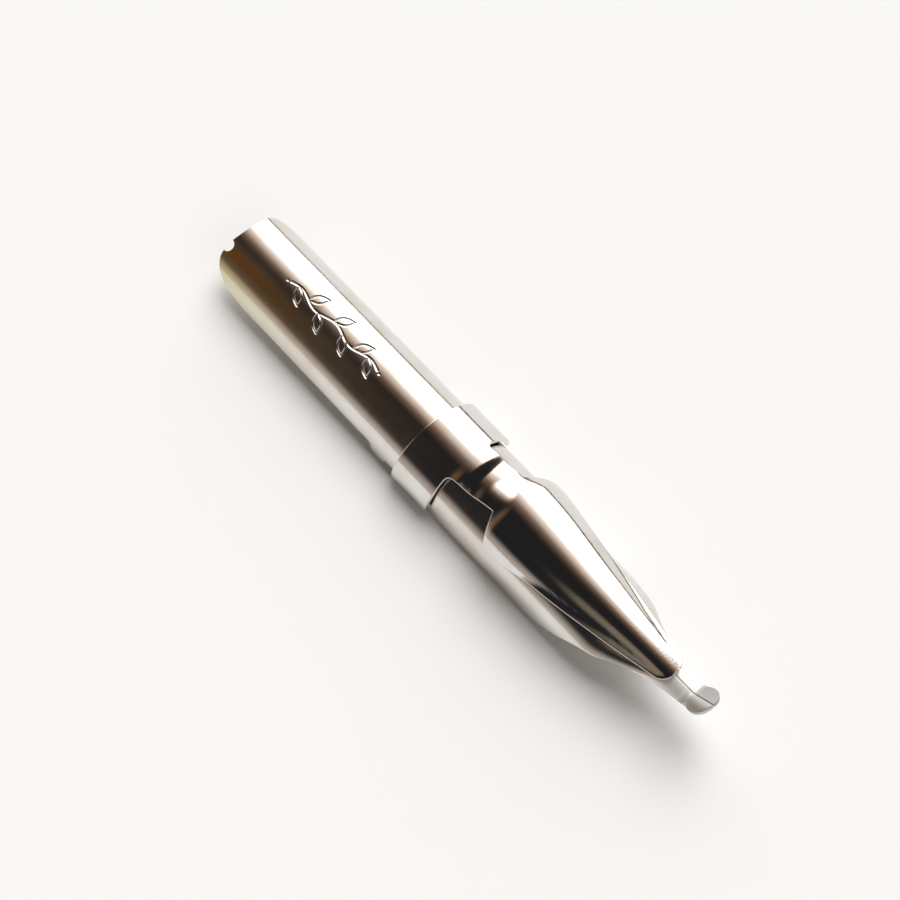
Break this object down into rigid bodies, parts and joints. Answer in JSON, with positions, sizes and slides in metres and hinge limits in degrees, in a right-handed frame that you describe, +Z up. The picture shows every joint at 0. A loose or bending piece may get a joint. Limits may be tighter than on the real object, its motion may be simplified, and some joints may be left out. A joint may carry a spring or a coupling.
{
  "type": "dip pen nib with over-reservoir",
  "caption": "Bent sheet-steel lettering nib: half-tube shank, split tines ending in an upturned round writing disc, and a clip-on hood-shaped ink reservoir over the slit.",
  "frame": {"origin": "Centre of the bounding box in X and Y, at the height of the surface the nib rests on.", "axes": "+X runs along the nib towards the writing disc, +Y to the nib's left as seen from behind it, +Z up out of the back of the trough."},
  "size_m": [0.0364, 0.006, 0.0037],
  "materials": {
    "nib_steel": "polished nickel-plated steel with fine lengthwise rolling marks",
    "reservoir_steel": "polished nickel-plated steel, bright at the bends"
  },
  "bodies": {
    "nib": {"nib_body": "nib_steel"},
    "reservoir": {"over_reservoir": "reservoir_steel"}
  },
  "joints": [
    {"name": "reservoir_slide", "type": "slide", "parent": "nib", "child": "reservoir", "axis": [1, 0, 0], "range_m": [-0.0006, 0.0001]}
  ]
}
